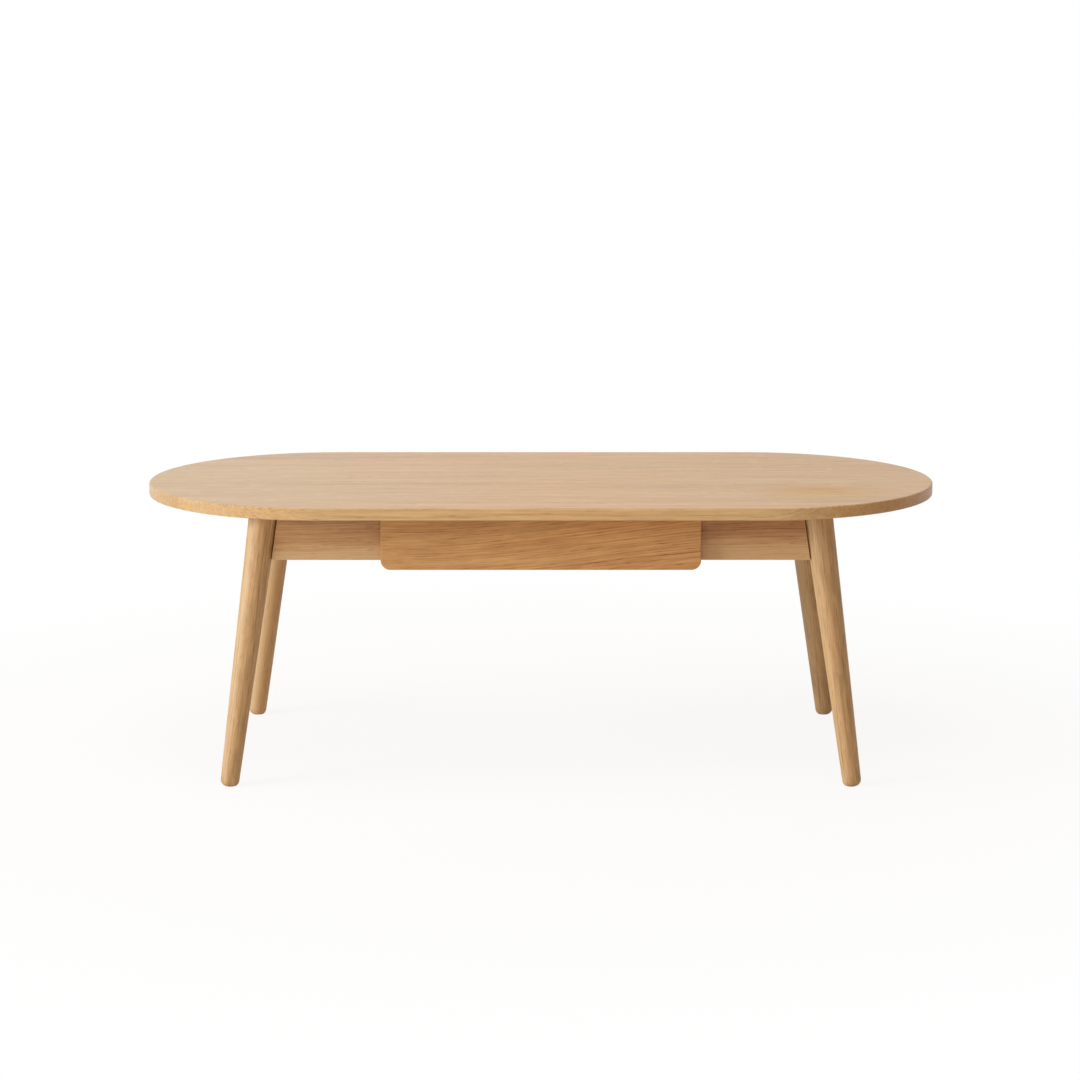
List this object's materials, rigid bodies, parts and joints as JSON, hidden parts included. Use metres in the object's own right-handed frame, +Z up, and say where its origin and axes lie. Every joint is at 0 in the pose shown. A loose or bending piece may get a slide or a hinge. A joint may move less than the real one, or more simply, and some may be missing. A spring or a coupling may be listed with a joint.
{
  "type": "coffee table",
  "caption": "Long round-ended oak coffee table on splayed tapered legs, with an apron under the top and a shallow front drawer that slides out on ball bearings.",
  "frame": {"origin": "on the floor, under the middle of the top", "axes": "+X to the right along the length, +Z up, the drawer opens towards -Y"},
  "size_m": [1.1998, 0.55, 0.425],
  "materials": {
    "oak_top": "matt oiled oak",
    "oak_legs": "matt oiled oak",
    "oak_rails": "matt oiled oak",
    "oak_drawer_front": "matt oiled oak",
    "inner_wood": "planed, unfinished",
    "birch_box": "sanded, clear coat",
    "birch_panel": "sanded, clear coat",
    "beech": "plain",
    "zinc_steel": "zinc plated",
    "screw_steel": "zinc plated",
    "ball_steel": "polished"
  },
  "bodies": {
    "table": {"tabletop": "oak_top", "leg_front_left": "oak_legs", "leg_front_right": "oak_legs", "leg_back_left": "oak_legs", "leg_back_right": "oak_legs", "front_rail": "oak_rails", "back_rail": "oak_rails", "side_rail_left": "oak_rails", "side_rail_right": "oak_rails", "drawer_bearer_left": "inner_wood", "drawer_bearer_right": "inner_wood", "corner_block_front_left": "inner_wood", "corner_block_front_right": "inner_wood", "corner_block_back_left": "inner_wood", "corner_block_back_right": "inner_wood", "slide_outer_left": "zinc_steel", "slide_outer_right": "zinc_steel", "rail_dowels": "beech", "bearer_dowels": "beech", "corner_block_screws": "screw_steel", "top_screws": "screw_steel", "slide_outer_screws": "screw_steel"},
    "drawer": {"drawer_front": "oak_drawer_front", "drawer_subfront": "birch_box", "drawer_side_left": "birch_box", "drawer_side_right": "birch_box", "drawer_back": "birch_box", "drawer_bottom": "birch_panel", "slide_inner_left": "zinc_steel", "slide_inner_right": "zinc_steel", "slide_inner_screws": "screw_steel", "drawer_front_screws": "screw_steel"},
    "ball_cage_left": {"ball_cage_left": "zinc_steel", "slide_balls_left": "ball_steel"},
    "ball_cage_right": {"ball_cage_right": "zinc_steel", "slide_balls_right": "ball_steel"}
  },
  "joints": [
    {"name": "drawer_slide", "type": "slide", "parent": "table", "child": "drawer", "axis": [0, -1, 0], "range_m": [0, 0.26]},
    {"name": "cage_slide_left", "type": "slide", "parent": "table", "child": "ball_cage_left", "axis": [0, -1, 0], "range_m": [0, 0.13]},
    {"name": "cage_slide_right", "type": "slide", "parent": "table", "child": "ball_cage_right", "axis": [0, -1, 0], "range_m": [0, 0.13]}
  ],
  "couplings": [
    {"joint": "cage_slide_left", "follows": "drawer_slide", "ratio": 0.5},
    {"joint": "cage_slide_right", "follows": "drawer_slide", "ratio": 0.5}
  ]
}
